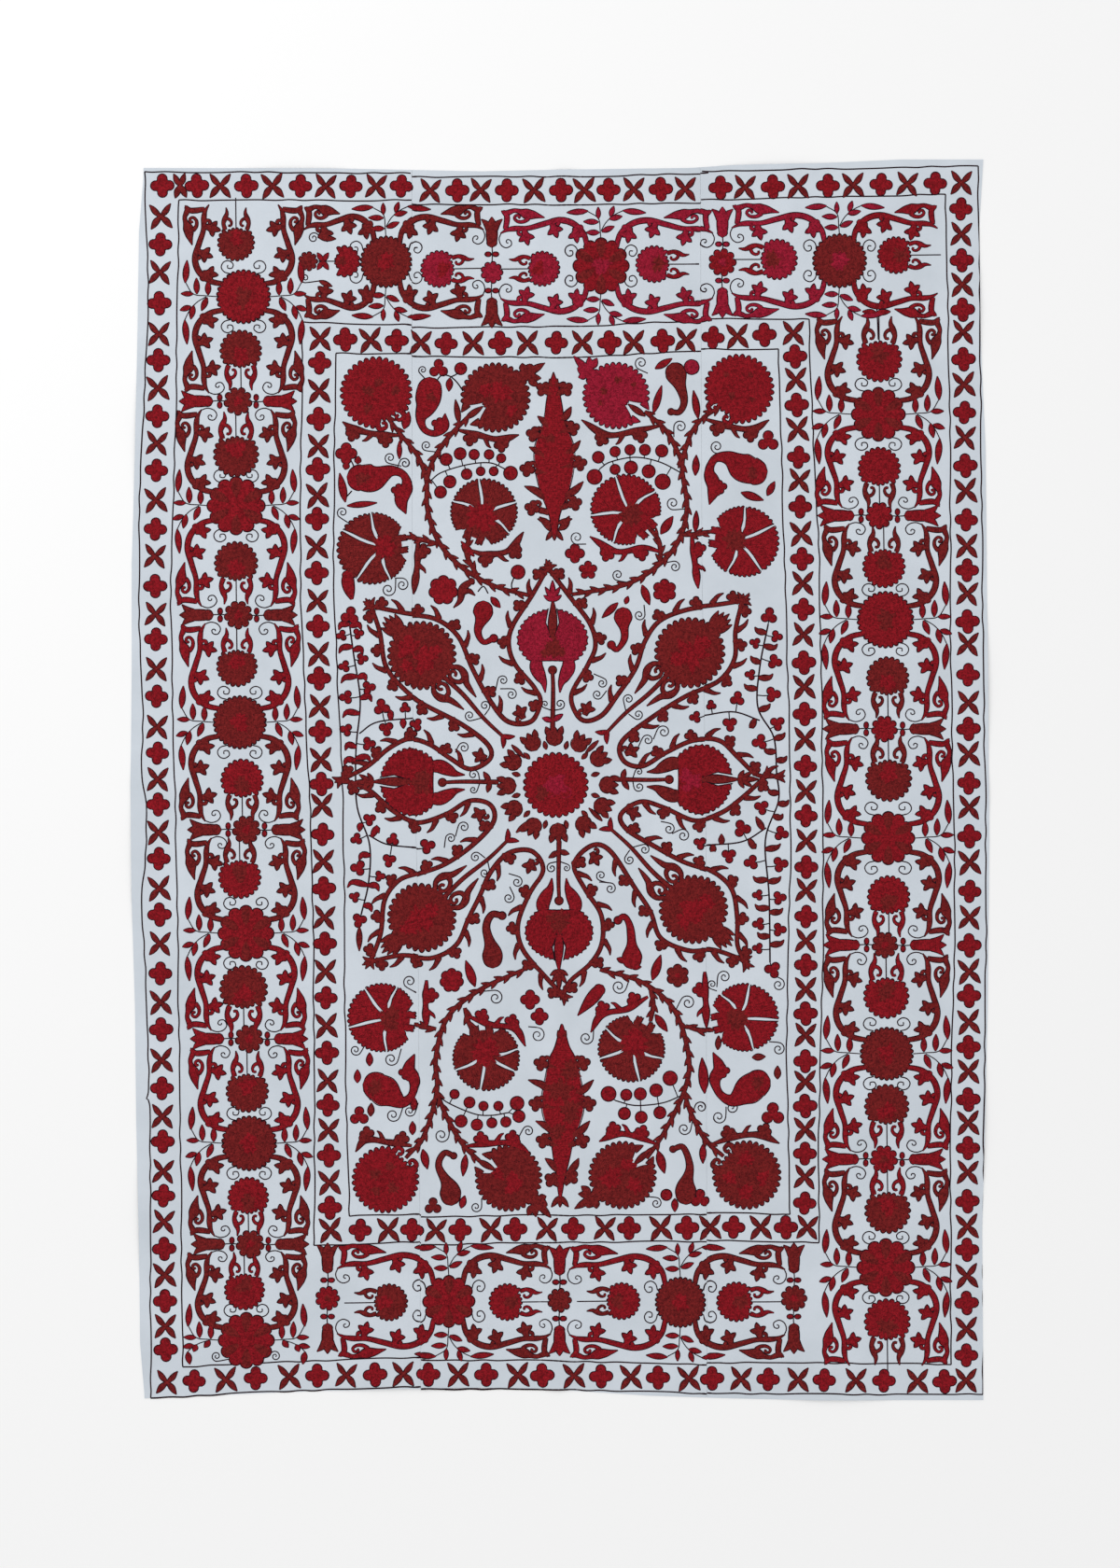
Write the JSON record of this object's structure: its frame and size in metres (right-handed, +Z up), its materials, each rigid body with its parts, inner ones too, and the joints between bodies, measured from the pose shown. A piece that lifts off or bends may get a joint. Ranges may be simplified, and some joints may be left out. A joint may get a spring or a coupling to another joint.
{
  "type": "suzani embroidered textile",
  "caption": "White cotton suzani of three sewn panels, laid flat, with chain-stitched flowers, vines and leaf medallion inside narrow borders.",
  "frame": {"origin": "under the middle of the cloth's outline, on the surface it lies on", "axes": "+Z up out of the embroidered face, +Y along the length towards the picture's top edge, +X towards the picture's right edge"},
  "size_m": [1.5298, 2.21, 0.0051],
  "materials": {
    "cotton": "matt plain-woven white cotton",
    "red_thread": "chain-stitched red thread with a soft sheen",
    "brown_thread": "chain-stitched red-brown thread with a soft sheen",
    "crimson_thread": "chain-stitched crimson thread with a soft sheen",
    "dark_thread": "dark maroon outline thread, matt"
  },
  "bodies": {
    "root": {"panel_left": "cotton", "panel_middle": "cotton", "panel_right": "cotton"}
  },
  "joints": []
}
